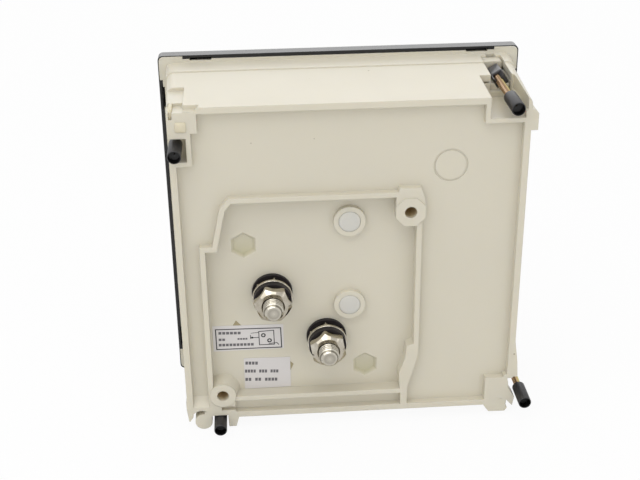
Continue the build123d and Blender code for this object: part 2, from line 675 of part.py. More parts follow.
def lower_nuts():
    turns = (20.0, 8.0)
    return Compound([hollow_nut(x, z, STACK_1, STACK_2, t) for (x, z), t in zip(STUDS, turns)])


def top_washers():
    return Compound([washer(x, z, TOP_WASHER, STACK_2) for x, z in STUDS])


def top_nuts():
    turns = (50.0, 8.0)
    return Compound([hollow_nut(x, z, STACK_3, STACK_4, t) for (x, z), t in zip(STUDS, turns)])


def blanking_plugs():
    return Compound([cyl(x, z, 4.25, FLOOR_Y + 0.7, FLOOR_Y + 2.5) for x, z in PLUGS])


def sticker(side, drop, width, height):
    # Printed label, placed by its distances from the compartment's left rib and top edge
    x = COMP_LEFT - RIB_T - 0.2 - side
    z = COMP_TOP - drop
    points = [(x, z), (x - width, z - 0.4), (x - width, z - height), (x, z - height - 0.2)]
    return prism(points, FLOOR_Y, FLOOR_Y + 0.15)


def clamp_sleeve(x, z):
    body = ngon(x, z, SLEEVE_W, SLEEVE_Y0, SLEEVE_Y1, SLEEVE_TURN, 4)
    return body - cyl(x, z, ROD_R + RUN_GAP, SLEEVE_Y0 - 1, SLEEVE_Y1 + 1)


def clamp_rod(x, z):
    body = cyl(x, z, ROD_R, ROD_Y0, ROD_Y1)
    return body - box(x - 3, x + 3, ROD_Y1 - 1.2, ROD_Y1 + 1, z - 0.35, z + 0.35)


def clamp_cap(x, z):
    body = cyl(x, z, CAP_R, CAP_Y0, CAP_Y1)
    body -= cyl(x, z, ROD_R, CAP_Y0 - 1, CAP_Y1)
    return body - cyl(x, z, CAP_BORE, ROD_Y1 - 2.0, CAP_Y1 + 1)


def save(name, shape):
    export_step(shape, "parts/" + name + ".step")


save("bezel_frame", bezel_frame())
save("window_pane", window_pane())
save("window_gasket", window_gasket())
save("corner_mask", corner_mask())
save("zero_adjuster", zero_adjuster())
save("zero_lever", zero_lever())
save("hairspring", hairspring())
save("dial_plate", dial_plate())
save("dial_screws", dial_screws())
save("rear_housing", rear_housing())
save("movement_base", movement_base())
save("movement_screws", movement_screws())
save("pillars", pillars())
save("front_bridge", front_bridge())
save("bridge_screws", bridge_screws())
save("front_bearing", front_bearing())
save("rear_bearing", rear_bearing())
save("spindle", spindle())
save("pointer", pointer())
save("counterweights", counterweights())
save("moving_iron", moving_iron())
save("fixed_iron", fixed_iron())
save("coil_former", coil_former())
save("coil_winding", coil_winding())
save("damping_chamber", damping_chamber())
save("damping_vane", damping_vane())
save("busbar_upper", busbar(True))
save("busbar_lower", busbar(False))
save("terminal_studs", terminal_studs())
save("base_washers", base_washers())
save("lower_nuts", lower_nuts())
save("top_washers", top_washers())
save("top_nuts", top_nuts())
save("blanking_plugs", blanking_plugs())
save("sticker_wide", sticker(0.6, 57.4, 28.3, 11.5))
save("sticker_tall", sticker(12.5, 72.9, 18.8, 14.4))
for name, x, z, d, deep, lo, hi, start in CLAMPS:
    save("sleeve_" + name, clamp_sleeve(x, z))
    save("rod_" + name, clamp_rod(x, z))
    save("cap_" + name, clamp_cap(x, z))
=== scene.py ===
import logging
import math
from dataclasses import dataclass, field
from enum import Enum
from typing import Callable, Dict, List, Optional, Sequence, Tuple, Union

import bmesh
import bpy
import numpy as np
from mathutils import Matrix, Vector


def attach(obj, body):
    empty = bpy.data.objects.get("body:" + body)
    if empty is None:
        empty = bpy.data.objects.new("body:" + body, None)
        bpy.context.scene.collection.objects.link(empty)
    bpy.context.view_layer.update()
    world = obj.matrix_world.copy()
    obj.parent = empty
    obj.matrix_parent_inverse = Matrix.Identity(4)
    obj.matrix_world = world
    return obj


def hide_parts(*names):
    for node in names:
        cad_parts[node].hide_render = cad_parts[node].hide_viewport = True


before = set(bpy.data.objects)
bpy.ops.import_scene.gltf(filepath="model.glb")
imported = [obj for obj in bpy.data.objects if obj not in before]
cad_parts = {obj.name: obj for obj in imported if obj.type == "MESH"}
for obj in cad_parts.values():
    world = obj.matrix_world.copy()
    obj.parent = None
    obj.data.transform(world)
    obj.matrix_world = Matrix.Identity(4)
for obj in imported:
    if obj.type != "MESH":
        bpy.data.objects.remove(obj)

LOG = logging.getLogger("panel_meter")
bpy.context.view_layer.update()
MM = 0.001
Point = Tuple[float, float]
Triple = Tuple[float, float, float]
Rows = Union[np.ndarray, Sequence[float]]
Shape = Tuple[np.ndarray, np.ndarray]
Socket = bpy.types.NodeSocket


# Shader groups

@dataclass
class Nodes:
    """A node tree to which the shaders' nodes are added, with a group's inputs by name."""

    tree: bpy.types.NodeTree
    given: Dict[str, Socket] = field(default_factory=dict)

    def add(self, kind: str) -> bpy.types.Node:
        """Adds a shader node by its type's name without the first word."""
        return self.tree.nodes.new("ShaderNode" + kind)

    def feed(self, sock: Socket, value: object) -> None:
        """Gives an input a number, three numbers as a colour, or a link.

        Args:
            sock: the input.
            value: the number, the colour or the socket to link from.
        """
        if isinstance(value, (int, float)):
            sock.default_value = value
        elif isinstance(value, tuple):
            sock.default_value = (*value, 1.0)
        else:
            self.tree.links.new(value, sock)

    def op(self, kind: str, *values: object, clamp: bool = False) -> Socket:
        """Adds a Math node.

        Args:
            kind: the Math node's operation.
            values: one socket or number per input.
            clamp: whether the result is held between 0 and 1.

        Returns:
            The node's output socket.
        """
        node = self.add("Math")
        node.operation = kind
        node.use_clamp = clamp
        for sock, value in zip(node.inputs, values):
            self.feed(sock, value)
        return node.outputs[0]

    def mix(self, factor: Socket, a: object, b: object) -> Socket:
        """Mixes two colours, each a socket or three numbers, by a factor's socket, and returns the mixed one."""
        node = self.add("Mix")
        node.data_type = "RGBA"
        for slot, value in ((0, factor), (6, a), (7, b)):
            self.feed(node.inputs[slot], value)
        return node.outputs[2]

    def noise(self, scale: object, detail: float = 3.0) -> Socket:
        """Adds a noise texture on object coordinates.

        Args:
            scale: the texture's scale, a socket or a number.
            detail: the number of octaves.

        Returns:
            The noise value socket.
        """
        node = self.add("TexNoise")
        self.feed(node.inputs["Vector"], self.add("TexCoord").outputs["Object"])
        self.feed(node.inputs["Scale"], scale)
        self.feed(node.inputs["Detail"], detail)
        return node.outputs["Fac"]

    def place(self, group: bpy.types.NodeTree, **values: object) -> bpy.types.bpy_prop_collection:
        """Places a group node with its own values.

        Args:
            group: the shared group.
            values: each input's number, colour or socket, by the input's name.

        Returns:
            The node's outputs by name.
        """
        node = self.add("Group")
        node.node_tree = group
        for label, value in values.items():
            self.feed(node.inputs[label], value)
        return node.outputs

    def cloud(self) -> Socket:
        """Returns the mask of cloudy patches, as in moulded or plated surfaces."""
        level = self.op("MULTIPLY_ADD", self.noise(self.given["Scale"], 4.0), 2.4, -0.7, clamp=True)
        return self.op("MULTIPLY", level, self.given["Amount"], clamp=True)

    def specks(self) -> Socket:
        """The mask of sparse small spots, as dirt baked into a moulding.

        A spot lies at the centre of each cell of a Voronoi pattern whose random red is below the share.

        Returns:
            The mask.
        """
        hardness = 14.0
        cell, split = self.add("TexVoronoi"), self.add("SeparateColor")
        self.feed(cell.inputs["Vector"], self.add("TexCoord").outputs["Object"])
        self.feed(cell.inputs["Scale"], self.given["Scale"])
        self.feed(split.inputs["Color"], cell.outputs["Color"])
        near = self.op("SUBTRACT", self.given["Size"], cell.outputs["Distance"])
        near = self.op("MULTIPLY", near, hardness, clamp=True)
        return self.op("MULTIPLY", near, self.op("LESS_THAN", split.outputs["Red"], self.given["Share"]))

    def edges(self) -> Socket:
        """The mask of worn outer edges, where the pointiness is above one half, broken up by noise.

        Returns:
            The mask.
        """
        edge = self.op("MULTIPLY_ADD", self.add("NewGeometry").outputs["Pointiness"], 14.0, -7.3, clamp=True)
        patch = self.op("MULTIPLY_ADD", self.noise(260.0), 3.0, -1.0, clamp=True)
        return self.op("MULTIPLY", self.op("MULTIPLY", edge, patch), self.given["Amount"], clamp=True)

    def recess_shade(self) -> Socket:
        """The mask of painted shade inside a round hollow along Y.

        It is 1 within the radius of the axis, grows with the depth below the mouth, and for a lean of 1
        fades from the hollow's low side to its high side.

        Returns:
            The mask.
        """
        op, given, rim_hardness = self.op, self.given, 5000.0
        split = self.add("SeparateXYZ")
        self.feed(split.inputs[0], self.add("TexCoord").outputs["Object"])
        dx = op("SUBTRACT", split.outputs["X"], given["X"])
        dz = op("SUBTRACT", split.outputs["Z"], given["Z"])
        away = op("SQRT", op("ADD", op("MULTIPLY", dx, dx), op("MULTIPLY", dz, dz)))
        inside = op("MULTIPLY", op("SUBTRACT", given["Radius"], away), rim_hardness, clamp=True)
        deep = op("DIVIDE", op("SUBTRACT", given["Mouth"], split.outputs["Y"]), given["Fade"], clamp=True)
        high = op("MULTIPLY_ADD", op("DIVIDE", dz, given["Radius"]), 0.5, 0.5, clamp=True)
        side = op("SUBTRACT", 1.0, op("MULTIPLY", high, given["Lean"]), clamp=True)
        return op("MULTIPLY", op("MULTIPLY", op("MULTIPLY", inside, deep), side), given["Amount"], clamp=True)


def new_group(name: str, colours: Sequence[str], numbers: Dict[str, float],
              outputs: Dict[str, str]) -> Tuple[Nodes, bpy.types.Node]:
    """Makes an empty shader node group with named sockets.

    Args:
        name: the group's name.
        colours: the names of the colour inputs.
        numbers: name and default of each number input.
        outputs: name and kind of each output, Color or Float.

    Returns:
        The group's nodes and its Group Output node.
    """
    tree = bpy.data.node_groups.new(name, "ShaderNodeTree")
    for label in colours:
        tree.interface.new_socket(name=label, in_out="INPUT", socket_type="NodeSocketColor")
    for label, value in numbers.items():
        tree.interface.new_socket(name=label, in_out="INPUT", socket_type="NodeSocketFloat").default_value = value
    for label, kind in outputs.items():
        tree.interface.new_socket(name=label, in_out="OUTPUT", socket_type="NodeSocket" + kind)
    start = tree.nodes.new("NodeGroupInput")
    return Nodes(tree, {sock.name: sock for sock in start.outputs}), tree.nodes.new("NodeGroupOutput")


def tint_group(name: str, second: str, mask: Callable[[Nodes], Socket], **numbers: float) -> bpy.types.NodeTree:
    """Makes a group that mixes a second colour into the first by a mask.

    Args:
        name: the group's name.
        second: the name of the second colour's input.
        mask: the method of Nodes that works out the mask.
        numbers: name and default of each number input.

    Returns:
        The node tree.
    """
    nodes, end = new_group(name, ("Colour", second), numbers, {"Colour": "Color"})
    nodes.feed(end.inputs["Colour"], nodes.mix(mask(nodes), nodes.given["Colour"], nodes.given[second]))
    return nodes.tree


def grain_group() -> bpy.types.NodeTree:
    """Makes the group for fine surface height and a slow change of roughness.

    Returns:
        The node tree.
    """
    numbers = {"Scale": 900.0, "Roughness": 0.5, "Spread": 0.1}
    nodes, end = new_group("grain", (), numbers, {"Height": "Float", "Roughness": "Float"})
    centred = nodes.op("SUBTRACT", nodes.noise(60.0), 0.5)
    rough = nodes.op("MULTIPLY_ADD", centred, nodes.given["Spread"], nodes.given["Roughness"])
    nodes.feed(end.inputs["Height"], nodes.noise(nodes.given["Scale"], 2.0))
    nodes.feed(end.inputs["Roughness"], rough)
    return nodes.tree


class Groups:
    """The shared shader groups, each built once."""

    def __init__(self) -> None:
        """Builds every group."""
        self.mottle = tint_group("mottle", "Tint", Nodes.cloud, Scale=20.0, Amount=0.5)
        self.specks = tint_group("specks", "Speck", Nodes.specks, Scale=300.0, Share=0.02, Size=0.14)
        self.grain = grain_group()
        self.edge = tint_group("edge_wear", "Worn", Nodes.edges, Amount=0.5)
        self.recess_shade = tint_group("painted_recess_shade", "Tint", Nodes.recess_shade, X=0.0, Z=0.0, Radius=0.003, Mouth=0.04,
                                 Fade=0.001, Lean=0.0, Amount=1.0)


class Family(Enum):
    """What a finish is made of."""

    PLASTIC = "plastic"
    METAL = "metal"
    GLASS = "glass"
    PAPER = "paper"
    INK = "ink"


@dataclass(frozen=True)
class RecessShade:
    """A round hollow along Y whose inside gets painted shade, a tint that deepens below the mouth, with places in
    mm.
    """

    x: float
    z: float
    radius: float
    mouth: float
    tint: Triple
    fade: float = 1.0
    lean: float = 0.0
    amount: float = 1.0


@dataclass(frozen=True)
class Finish:
    """One surface finish.

    The attributes name the base colour, its cloudy second colour and the amounts of each shared effect.
    Colours are linear. Each mark is a colour that shows by the value of that name on a piece's points.
    """

    name: str
    family: Family
    colour: Triple
    tint: Triple
    roughness: float = 0.5
    spread: float = 0.1
    mottle_scale: float = 25.0
    mottle: float = 0.4
    grain_scale: float = 900.0
    bump: float = 0.05
    specks: float = 0.0
    speck_colour: Triple = (0.30, 0.25, 0.17)
    wear: float = 0.0
    worn: Triple = (0.7, 0.7, 0.7)
    coat: float = 0.0
    soft_edge: float = 0.0
    subsurface: float = 0.0
    specular: float = 0.5
    marks: Tuple[Tuple[str, Triple], ...] = ()
    recess_shades: Tuple[RecessShade, ...] = ()

    def colouring(self, nodes: Nodes, groups: Groups) -> Socket:
        """Stacks the shared effects on the base colour.

        Args:
            nodes: the material's nodes.
            groups: the shared shader groups.

        Returns:
            The finished colour.
        """
        base = nodes.place(groups.mottle, Colour=self.colour, Tint=self.tint, Scale=self.mottle_scale,
                           Amount=self.mottle)["Colour"]
        if self.specks > 0:
            base = nodes.place(groups.specks, Colour=base, Speck=self.speck_colour, Share=self.specks)["Colour"]
        for label, colour in self.marks:
            node = nodes.add("Attribute")
            node.attribute_name = label
            base = nodes.mix(node.outputs["Fac"], base, colour)
        # Painted shade inside round hollows, deeper below each mouth.
        for r in self.recess_shades:
            base = nodes.place(groups.recess_shade, Colour=base, Tint=r.tint, X=r.x * MM, Z=r.z * MM, Radius=r.radius * MM,
                               Mouth=r.mouth * MM, Fade=r.fade * MM, Lean=r.lean, Amount=r.amount)["Colour"]
        if self.wear > 0:
            base = nodes.place(groups.edge, Colour=base, Worn=self.worn, Amount=self.wear)["Colour"]
        return base

    def build(self, groups: Groups) -> bpy.types.Material:
        """Builds the material.

        Args:
            groups: the shared shader groups.

        Returns:
            The finished material.
        """
        mat = bpy.data.materials.new(self.name)
        mat.use_nodes = True
        nodes = Nodes(mat.node_tree)
        shader = mat.node_tree.nodes["Principled BSDF"].inputs
        fine = nodes.place(groups.grain, Scale=self.grain_scale, Roughness=self.roughness, Spread=self.spread)
        nodes.feed(shader["Base Color"], self.colouring(nodes, groups))
        nodes.feed(shader["Roughness"], fine["Roughness"])
        nodes.feed(shader["Metallic"], 1.0 if self.family is Family.METAL else 0.0)
        nodes.feed(shader["Coat Weight"], self.coat)
        nodes.feed(shader["Specular IOR Level"], self.specular)
        if self.family is Family.GLASS:
            nodes.feed(shader["Transmission Weight"], 1.0)
            nodes.feed(shader["IOR"], 1.5)
        if self.subsurface > 0:
            nodes.feed(shader["Subsurface Weight"], self.subsurface)
            nodes.feed(shader["Subsurface Scale"], 1.0)
            shader["Subsurface Radius"].default_value = (0.004, 0.003, 0.0015)
        if self.bump > 0:
            relief = nodes.add("Bump")
            nodes.feed(relief.inputs["Strength"], self.bump)
            nodes.feed(relief.inputs["Distance"], 0.2 * MM)
            nodes.feed(relief.inputs["Height"], fine["Height"])
            if self.soft_edge > 0:
                soft = nodes.add("Bevel")
                soft.samples = 6
                nodes.feed(soft.inputs["Radius"], self.soft_edge)
                nodes.feed(relief.inputs["Normal"], soft.outputs["Normal"])
            nodes.feed(shader["Normal"], relief.outputs["Normal"])
        return mat


class FinishBook:
    """Every finish on the meter, by name."""

    def __init__(self) -> None:
        """Builds all the materials."""
        groups = Groups()
        p, m = Family.PLASTIC, Family.METAL
        # Painted shade: brown deepening inside the two cover holes, and olive, strongest on the low side, inside the
        # two hexagon hollows.
        hole_shade, olive_shade = (0.60, 0.42, 0.17), (0.46, 0.43, 0.26)
        book = [
            Finish("cream_moulding", p, (0.615, 0.575, 0.468), (0.585, 0.55, 0.455), 0.42, 0.12, 18.0, 0.6,
                   700.0, 0.05, specks=0.006, coat=0.05, soft_edge=0.00045, subsurface=0.12,
                   recess_shades=(RecessShade(-22.8, 22.4, 2.45, 48.0, hole_shade, 2.0), RecessShade(52.1, -56.0, 2.45, 48.0, hole_shade, 2.0),
                             RecessShade(41.2, 8.6, 5.6, 42.45, olive_shade, 1.2, 0.9, 0.8),
                             RecessShade(-6.3, -47.8, 5.6, 42.45, olive_shade, 1.2, 0.9, 0.8))),
            Finish("pad_cream", p, (0.64, 0.575, 0.42), (0.60, 0.55, 0.43), 0.42, 0.1, 30.0, 0.6, 700.0, 0.05,
                   coat=0.05, soft_edge=0.0004, subsurface=0.12),
            # Painted shade: the flat brown pieces in the hollows at the stickers' corners.
            Finish("hollow_shade_brown", p, (0.30, 0.25, 0.14), (0.38, 0.33, 0.2), 0.6, 0.1, 300.0, 0.5, 900.0, 0.05),
            Finish("bezel_black", p, (0.010, 0.010, 0.011), (0.013, 0.013, 0.014), 0.26, 0.04, 30.0, 0.5,
                   1200.0, 0.03, wear=0.2, worn=(0.08, 0.08, 0.08), soft_edge=0.0003, specular=0.36),
            # Painted shade: the cavity_shade mark makes the cap's inside near black.
            Finish("clamp_black", p, (0.012, 0.0115, 0.0125), (0.022, 0.0205, 0.022), 0.42, 0.12, 160.0, 0.5,
                   1500.0, 0.05, wear=0.5, worn=(0.045, 0.042, 0.045), soft_edge=0.0002,
                   marks=(("cavity_shade", (0.002, 0.002, 0.002)),)),
            Finish("mask_black", p, (0.012, 0.012, 0.013), (0.02, 0.02, 0.02), 0.6, 0.1, 40.0, 0.4, 900.0, 0.05),
            Finish("gasket_rubber", p, (0.02, 0.02, 0.02), (0.03, 0.03, 0.03), 0.75, 0.1, 60.0, 0.5, 800.0, 0.1),
            Finish("window_clear", Family.GLASS, (0.96, 0.98, 0.98), (0.95, 0.97, 0.97), 0.03, 0.01, 10.0, 0.2,
                   500.0, 0.0),
            Finish("dial_paint", p, (0.82, 0.815, 0.79), (0.78, 0.775, 0.75), 0.55, 0.08, 22.0, 0.35, 1500.0, 0.05),
            Finish("print_black", Family.INK, (0.012, 0.012, 0.013), (0.03, 0.03, 0.03), 0.6, 0.1, 400.0, 0.5,
                   1500.0, 0.03),
            Finish("nickel_plate", m, (0.42, 0.38, 0.305), (0.33, 0.29, 0.225), 0.1, 0.1, 130.0, 0.5,
                   1300.0, 0.06, wear=0.6, worn=(0.8, 0.77, 0.7), soft_edge=0.00016),
            # Painted shade: the cavity_shade mark darkens the thread's roots on the studs.
            Finish("stud_nickel", m, (0.56, 0.53, 0.46), (0.42, 0.39, 0.32), 0.13, 0.1, 160.0, 0.5,
                   1500.0, 0.06, marks=(("cavity_shade", (0.10, 0.085, 0.055)),)),
            Finish("sleeve_black", p, (0.022, 0.022, 0.026), (0.035, 0.034, 0.04), 0.3, 0.1, 160.0, 0.5,
                   1500.0, 0.04, wear=0.5, worn=(0.09, 0.09, 0.1), coat=0.25),
            Finish("washer_black", p, (0.008, 0.006, 0.007), (0.016, 0.011, 0.013), 0.42, 0.12, 120.0, 0.5,
                   1300.0, 0.06, wear=0.3, worn=(0.05, 0.045, 0.045), specular=0.2),
            # Painted light on the rods: the round mark is a painted orange-tan sheen on one side, the crown mark a
            # painted dark reflection streak along the top, and the cavity_shade mark painted shade in the thread's
            # roots.
            Finish("yellow_zinc", m, (0.72, 0.65, 0.24), (0.58, 0.50, 0.17), 0.24, 0.12, 120.0, 0.8,
                   1500.0, 0.05, marks=(("round", (0.82, 0.58, 0.40)), ("crown_reflection", (0.2, 0.12, 0.055)),
                                   ("cavity_shade", (0.12, 0.08, 0.03)))),
            Finish("steel_satin", m, (0.48, 0.48, 0.49), (0.4, 0.4, 0.41), 0.35, 0.14, 120.0, 0.5, 1200.0, 0.1,
                   wear=0.3, worn=(0.65, 0.65, 0.66)),
            Finish("brass_satin", m, (0.62, 0.45, 0.18), (0.5, 0.35, 0.14), 0.3, 0.14, 110.0, 0.5, 1200.0, 0.08,
                   wear=0.3, worn=(0.8, 0.65, 0.35)),
            Finish("copper_bare", m, (0.62, 0.30, 0.17), (0.48, 0.22, 0.13), 0.32, 0.14, 90.0, 0.6, 1100.0, 0.08),
            Finish("copper_enamel", m, (0.42, 0.13, 0.04), (0.3, 0.09, 0.03), 0.25, 0.1, 200.0, 0.6, 1100.0, 0.05,
                   coat=0.6),
            Finish("aluminium_satin", m, (0.66, 0.66, 0.67), (0.55, 0.55, 0.56), 0.36, 0.12, 120.0, 0.5,
                   1200.0, 0.1),
            Finish("pointer_black", p, (0.01, 0.01, 0.011), (0.02, 0.02, 0.02), 0.55, 0.1, 200.0, 0.4,
                   1200.0, 0.05),
            Finish("spring_bronze", m, (0.6, 0.38, 0.16), (0.5, 0.3, 0.12), 0.22, 0.1, 200.0, 0.5, 1200.0, 0.03),
            Finish("former_white", p, (0.68, 0.66, 0.6), (0.62, 0.6, 0.54), 0.45, 0.1, 40.0, 0.5, 900.0, 0.08,
                   soft_edge=0.0003),
            Finish("plug_grey", p, (0.578, 0.56, 0.505), (0.555, 0.545, 0.505), 0.42, 0.1, 90.0, 0.6, 900.0, 0.06,
                   specks=0.006, soft_edge=0.0003, subsurface=0.1),
            Finish("sticker_paper", Family.PAPER, (0.635, 0.61, 0.595), (0.61, 0.585, 0.575), 0.55, 0.1, 60.0, 0.6,
                   1500.0, 0.05),
            Finish("print_soft", Family.INK, (0.11, 0.105, 0.11), (0.16, 0.15, 0.155), 0.6, 0.1, 900.0, 0.6,
                   1500.0, 0.03),
        ]
        self.mats: Dict[str, bpy.types.Material] = {f.name: f.build(groups) for f in book}

    def get(self, name: str) -> bpy.types.Material:
        """Returns the material of that name."""
        return self.mats[name]


# Mesh helpers

def circle(count: int, turn: float = 0.0) -> np.ndarray:
    """Returns the angles in radians of even steps once round, from the turn's angle on."""
    return turn + np.linspace(0, 2 * np.pi, count, endpoint=False)


def superellipse(angles: np.ndarray, power: int) -> np.ndarray:
    """Returns a rounded square's radii for half side 1: (|cos a| ** p + |sin a| ** p) ** (-1 / p) for power p."""
    return (np.abs(np.cos(angles)) ** power + np.abs(np.sin(angles)) ** power) ** (-1 / power)


def hexagon(angles: np.ndarray, half: float) -> np.ndarray:
    """Returns a hexagon's radii, half its width over the cosine of the angle from the nearest flat's middle."""
    return half / np.cos(angles % (np.pi / 3) - np.pi / 6)


def grid_faces(n: int, m: int, wrap_n: bool, wrap_m: bool) -> np.ndarray:
    """Corner numbers of the quads of a grid of n rows and m columns, wrapped where last joins first."""
    i, j = np.meshgrid(np.arange(n if wrap_n else n - 1), np.arange(m if wrap_m else m - 1), indexing="ij")
    i2, j2 = (i + 1) % n, (j + 1) % m
    return np.stack([i * m + j, i * m + j2, i2 * m + j2, i2 * m + j], axis=-1).reshape(-1, 4)


def skin(rows: np.ndarray, closed: bool) -> Shape:
    """Returns the points and quads over rows of points that run round, closed if the last row joins the first."""
    return rows.reshape(-1, 3), grid_faces(len(rows), rows.shape[1], closed, True)


def turned(at: Point, radius: Rows, y: Rows, angles: np.ndarray) -> np.ndarray:
    """Points of a surface turned about an axis along Y.

    The point at row i and column j is the axis point plus radius[i, j] along angle j, at height y[i].

    Args:
        at: the axis's X and Z in mm.
        radius: radius by row and column, or by row alone.
        y: height of each row, or of each point.
        angles: angle of each column in radians.

    Returns:
        Points as rows by columns by 3.
    """
    rad, high = (v if v.ndim == 2 else np.repeat(v[:, None], len(angles), axis=1)
                 for v in (np.asarray(radius, float), np.asarray(y, float)))
    return np.stack([at[0] + rad * np.cos(angles), high, at[1] + rad * np.sin(angles)], axis=-1)


def lathe(at: Point, profile: Sequence[Point], segments: int, ring: bool = True) -> Shape:
    """Sweeps a profile of radius and height, closed on itself for a ring, round an axis along Y."""
    radius, y = np.asarray(profile, float).T
    return skin(turned(at, radius, y, circle(segments)), ring)


def flat_strip(points: np.ndarray, width: float, y: float, closed: bool = False) -> Shape:
    """A flat line of one width in a plane of constant Y.

    Each point is moved by half the width along the mean normal of its two neighbours, to both sides, and
    further at a bend so that the sides keep the width.

    Args:
        points: X and Z of the line's points in mm.
        width: the line's width in mm.
        y: the plane's Y in mm.
        closed: whether the last point joins the first.

    Returns:
        Points and quads.
    """
    p = np.asarray(points, float)
    ahead = np.roll(p, -1, axis=0) - p
    back = p - np.roll(p, 1, axis=0)
    if not closed:
        ahead[-1] = back[-1]
        back[0] = ahead[0]
    ahead /= np.linalg.norm(ahead, axis=1, keepdims=True)
    back /= np.linalg.norm(back, axis=1, keepdims=True)
    mean = ahead + back
    mean /= np.linalg.norm(mean, axis=1, keepdims=True)
    normal = np.stack([-mean[:, 1], mean[:, 0]], axis=1)
    least_cosine = 0.3
    cosine = (normal * np.stack([-ahead[:, 1], ahead[:, 0]], axis=1)).sum(axis=1)
    reach = width / 2 / np.maximum(cosine, least_cosine)
    sides = np.stack([p + normal * reach[:, None], p - normal * reach[:, None]], axis=1)
    flat = np.stack([sides[..., 0], np.full(sides.shape[:2], y), sides[..., 1]], axis=-1)
    return flat.reshape(-1, 3), grid_faces(len(p), 2, closed, False)


def join_parts(parts: Sequence[Shape]) -> Shape:
    """Joins several meshes of points and quads into one, by shifting their corner numbers."""
    counts = np.cumsum([0] + [len(v) for v, _ in parts[:-1]])
    return np.concatenate([v for v, _ in parts]), np.concatenate([f + c for (_, f), c in zip(parts, counts)])


def add_piece(name: str, parts: Sequence[Shape], mat: bpy.types.Material, body: str,
              smooth: bool = True, close: bool = True, crisp: float = 35.0,
              marks: Optional[Dict[str, np.ndarray]] = None) -> bpy.types.Object:
    """Makes one piece from its parts and puts it on its body.

    Args:
        name: the piece's name.
        parts: each part's points in mm, in the row frame, and its quads.
        mat: the piece's material.
        body: the CAD body that it rides on.
        smooth: whether faces are shaded smooth.
        close: whether normals are worked out afresh, for a closed form.
        crisp: the angle in degrees past which an edge stays sharp on a smooth piece.
        marks: values by point that the finish reads, by the attribute's name.

    Returns:
        The new object.
    """
    verts, faces = join_parts(parts)
    mesh = bpy.data.meshes.new(name)
    mesh.from_pydata((verts * MM).tolist(), [], faces.tolist())
    mesh.polygons.foreach_set("use_smooth", [smooth] * len(mesh.polygons))
    for label, values in (marks or {}).items():
        mesh.attributes.new(label, "FLOAT", "POINT").data.foreach_set("value", values.astype(float).ravel())
    if close:
        bm = bmesh.new()
        bm.from_mesh(mesh)
        bmesh.ops.remove_doubles(bm, verts=bm.verts, dist=1e-7)
        bmesh.ops.recalc_face_normals(bm, faces=bm.faces)
        bm.to_mesh(mesh)
        bm.free()
    if smooth:
        mesh.set_sharp_from_angle(angle=math.radians(crisp))
    mesh.materials.append(mat)
    obj = bpy.data.objects.new(name, mesh)
    bpy.context.scene.collection.objects.link(obj)
    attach(obj, body)
    LOG.info("%s: %d faces on %s", name, len(mesh.polygons), body)
    return obj


def face_towards(obj: bpy.types.Object, sign: float) -> None:
    """Turns every face of a flat print towards +Y or -Y.

    Args:
        obj: the print.
        sign: 1 for +Y and -1 for -Y.
    """
    bm = bmesh.new()
    bm.from_mesh(obj.data)
    wrong = [f for f in bm.faces if f.normal.y * sign < 0]
    bmesh.ops.reverse_faces(bm, faces=wrong)
    bm.to_mesh(obj.data)
    bm.free()


def add_print(name: str, parts: Sequence[Shape], mat: bpy.types.Material, sign: float) -> None:
    """Makes a flat print on the case that faces +Y for a sign of 1 and -Y for -1."""
    face_towards(add_piece(name, parts, mat, "case", smooth=False, close=False), sign)


def dress(book: FinishBook, finish: str, *nodes: str) -> None:
    """Gives carried-over CAD nodes their material.

    Args:
        book: the finishes.
        finish: the finish's name.
        nodes: the CAD nodes.
    """
    for node in nodes:
        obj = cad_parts[node]
        if not obj.material_slots:
            obj.data.materials.append(book.get(finish))
        for slot in obj.material_slots:
            slot.material = book.get(finish)
        LOG.info("%s: CAD node in %s", node, finish)


@dataclass
class FrontFrame:
    """The bezel, its window, the gasket and the corner mask."""

    book: FinishBook

    def build(self) -> None:
        """Dresses the front's CAD nodes."""
        dress(self.book, "bezel_black", "bezel_frame")
        dress(self.book, "window_clear", "window_pane")
        dress(self.book, "gasket_rubber", "window_gasket")
        dress(self.book, "mask_black", "corner_mask", "zero_adjuster")


